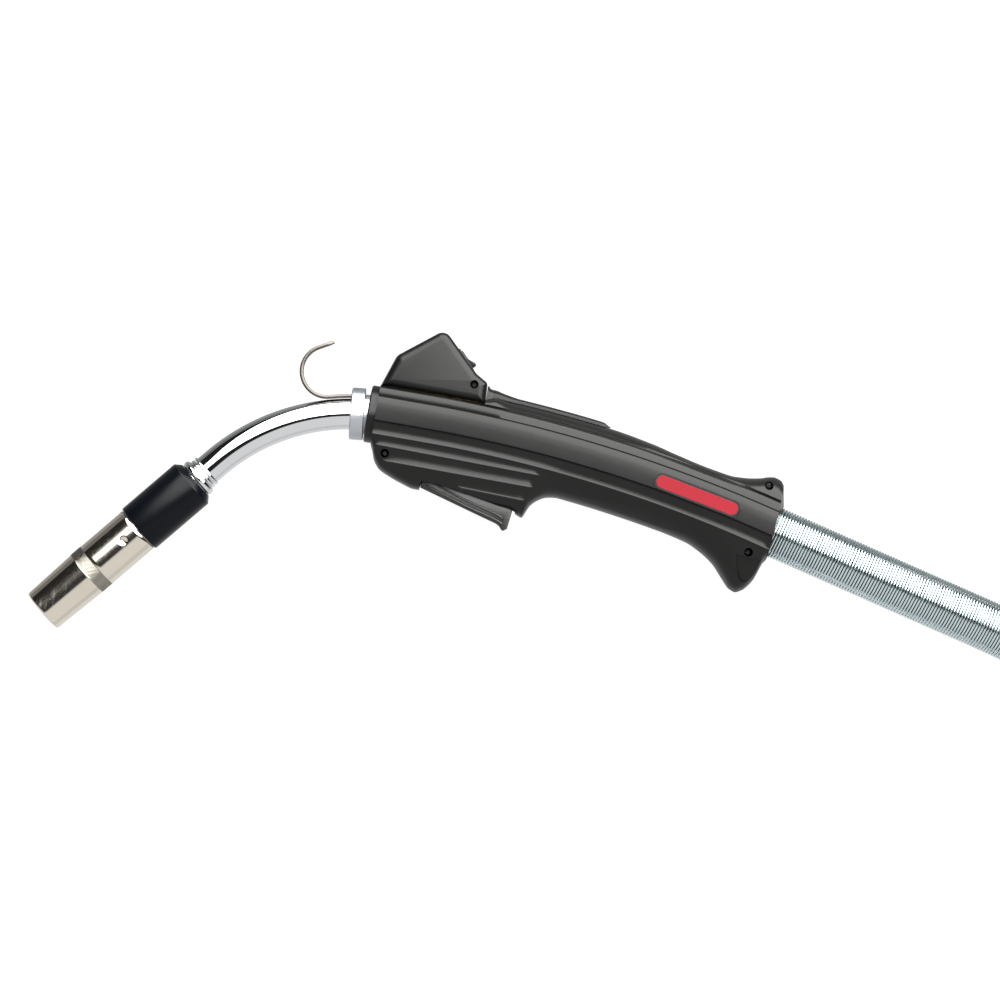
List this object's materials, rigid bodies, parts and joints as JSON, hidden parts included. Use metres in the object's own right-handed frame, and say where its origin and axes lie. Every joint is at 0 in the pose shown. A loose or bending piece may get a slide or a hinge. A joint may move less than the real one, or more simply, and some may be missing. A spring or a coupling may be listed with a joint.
{
  "type": "mig welding torch",
  "caption": "Hand-held gas-shielded wire welding torch with a bent neck, moulded grip, trigger, hanging hook and a coiled cable that ends in a round screw-on connector.",
  "frame": {"origin": "on the flat right side of the handle that the torch rests on, straight below the point where the neck starts to bend", "axes": "+X along the handle towards the cable, +Y towards the top of the torch where the hook is, +Z towards its left side, away from the surface it lies on"},
  "size_m": [0.7824, 0.2813, 0.0849],
  "materials": {
    "handle": "satin moulded black",
    "trigger": "satin moulded black",
    "insulator": "satin blue-black phenolic",
    "chrome": "polished",
    "nickel": "warm nickel plate",
    "hook": "plated strip",
    "collar": "satin",
    "zinc": "bright zinc plate",
    "brass": "machined",
    "copper": "machined copper",
    "label": "plain red, no lettering",
    "rubber": "matte black jacket",
    "connector_plastic": "moulded black",
    "switch_plastic": "moulded dark grey",
    "button": "moulded black",
    "screw": "blackened"
  },
  "bodies": {
    "handle": {"nozzle_insulator": "insulator", "neck_end_ring": "chrome", "gas_diffuser": "brass", "nozzle_retaining_ring": "zinc", "contact_tip": "copper", "neck_tube": "chrome", "neck_liner": "zinc", "neck_collar": "collar", "hanger_hook": "hook", "neck_block": "brass", "cable_terminal": "copper", "power_conductor": "copper", "control_lead": "rubber", "handle_left_shell": "handle", "handle_right_shell": "handle", "switch_housing_left": "handle", "switch_housing_right": "handle", "spine_strip": "handle", "label_plate": "label", "handle_screw_1": "screw", "handle_screw_2": "screw", "handle_screw_3": "screw", "housing_screw": "screw", "trigger_pin": "zinc", "trigger_spring": "zinc", "microswitch": "switch_plastic", "rocker_base": "switch_plastic", "spring_clamp": "zinc", "rear_spring": "zinc", "cable_run": "rubber", "cable_coil": "rubber", "cable_tail": "rubber", "connector_boot": "rubber", "connector_body": "connector_plastic", "connector_face": "switch_plastic", "gas_nipple": "brass", "o_ring_front": "rubber", "o_ring_rear": "rubber", "liner_nut": "brass"},
    "nozzle": {"gas_nozzle": "nickel"},
    "trigger": {"trigger_lever": "trigger"},
    "plunger": {"switch_plunger": "button"},
    "rocker": {"rocker_button": "button"},
    "nut": {"hand_nut": "connector_plastic"},
    "contact_1": {"contact_pin_1": "brass"},
    "contact_2": {"contact_pin_2": "brass"}
  },
  "joints": [
    {"name": "nozzle_slide", "type": "slide", "parent": "handle", "child": "nozzle", "axis": [-0.6374, -0.7705, 0], "range_m": [0, 0.09]},
    {"name": "trigger_hinge", "type": "hinge", "parent": "handle", "child": "trigger", "pos_m": [0.0285, -0.0245, 0.019], "axis": [0, 0, 1], "range_deg": [0, 6], "stiffness_Nm_per_rad": 1, "springref_deg": -8.59},
    {"name": "plunger_slide", "type": "slide", "parent": "handle", "child": "plunger", "axis": [0, 1, 0], "range_m": [0, 0.0014]},
    {"name": "rocker_hinge", "type": "hinge", "parent": "handle", "child": "rocker", "pos_m": [0.03587, 0.03572, 0.019], "axis": [0, 0, 1], "range_deg": [-12, 0]},
    {"name": "nut_turn", "type": "hinge", "parent": "handle", "child": "nut", "pos_m": [0.546, 0.09, 0.0619], "axis": [0, 1, 0], "continuous": true},
    {"name": "contact_1_slide", "type": "slide", "parent": "handle", "child": "contact_1", "axis": [0, -1, 0], "range_m": [0, 0.003], "stiffness_N_per_m": 300, "springref_m": -0.001},
    {"name": "contact_2_slide", "type": "slide", "parent": "handle", "child": "contact_2", "axis": [0, -1, 0], "range_m": [0, 0.003], "stiffness_N_per_m": 300, "springref_m": -0.001}
  ],
  "couplings": [
    {"joint": "plunger_slide", "follows": "trigger_hinge", "m_per_rad": 0.0115}
  ]
}
